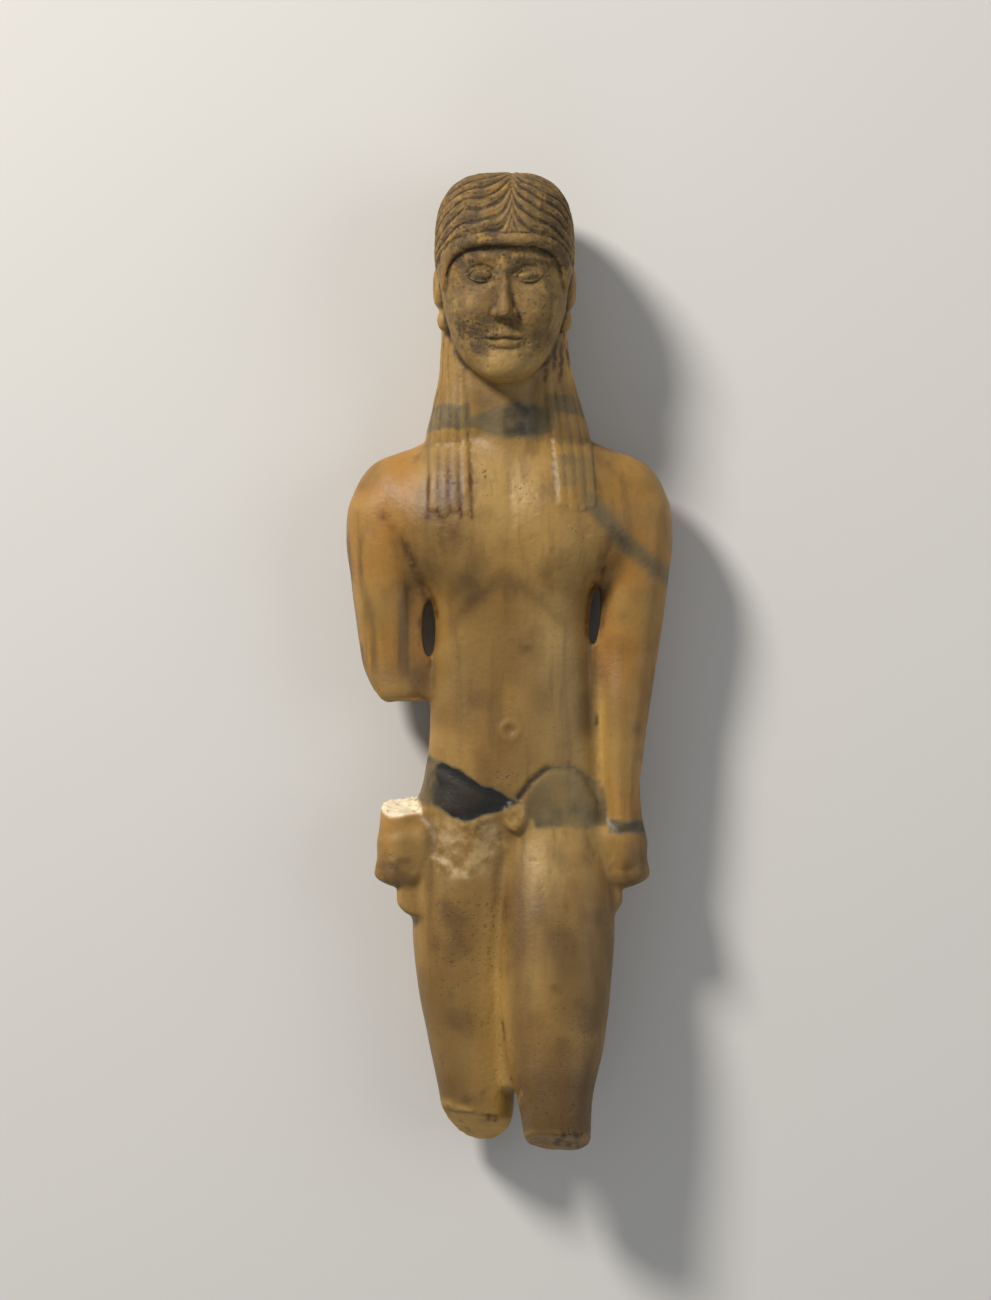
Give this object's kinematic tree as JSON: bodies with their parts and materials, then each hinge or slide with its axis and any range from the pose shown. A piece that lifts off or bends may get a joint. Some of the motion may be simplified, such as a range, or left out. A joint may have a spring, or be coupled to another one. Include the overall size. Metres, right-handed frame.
{
  "type": "archaic cypriot figure",
  "caption": "Carved alabaster standing youth with arms at the sides, broken at the knees and one forearm, lying on its back.",
  "frame": {"origin": "centre of the bounding box's underside, on the ground that the figure's back rests on", "axes": "+X to the figure's left, +Y from the broken knees to the crown, +Z from the back to the face"},
  "size_m": [0.086, 0.257, 0.0448],
  "materials": {
    "alabaster": "smoothed honey-coloured alabaster with grey-green veins, brown crust on face and hair"
  },
  "bodies": {
    "root": {"figure": "alabaster"}
  },
  "joints": []
}
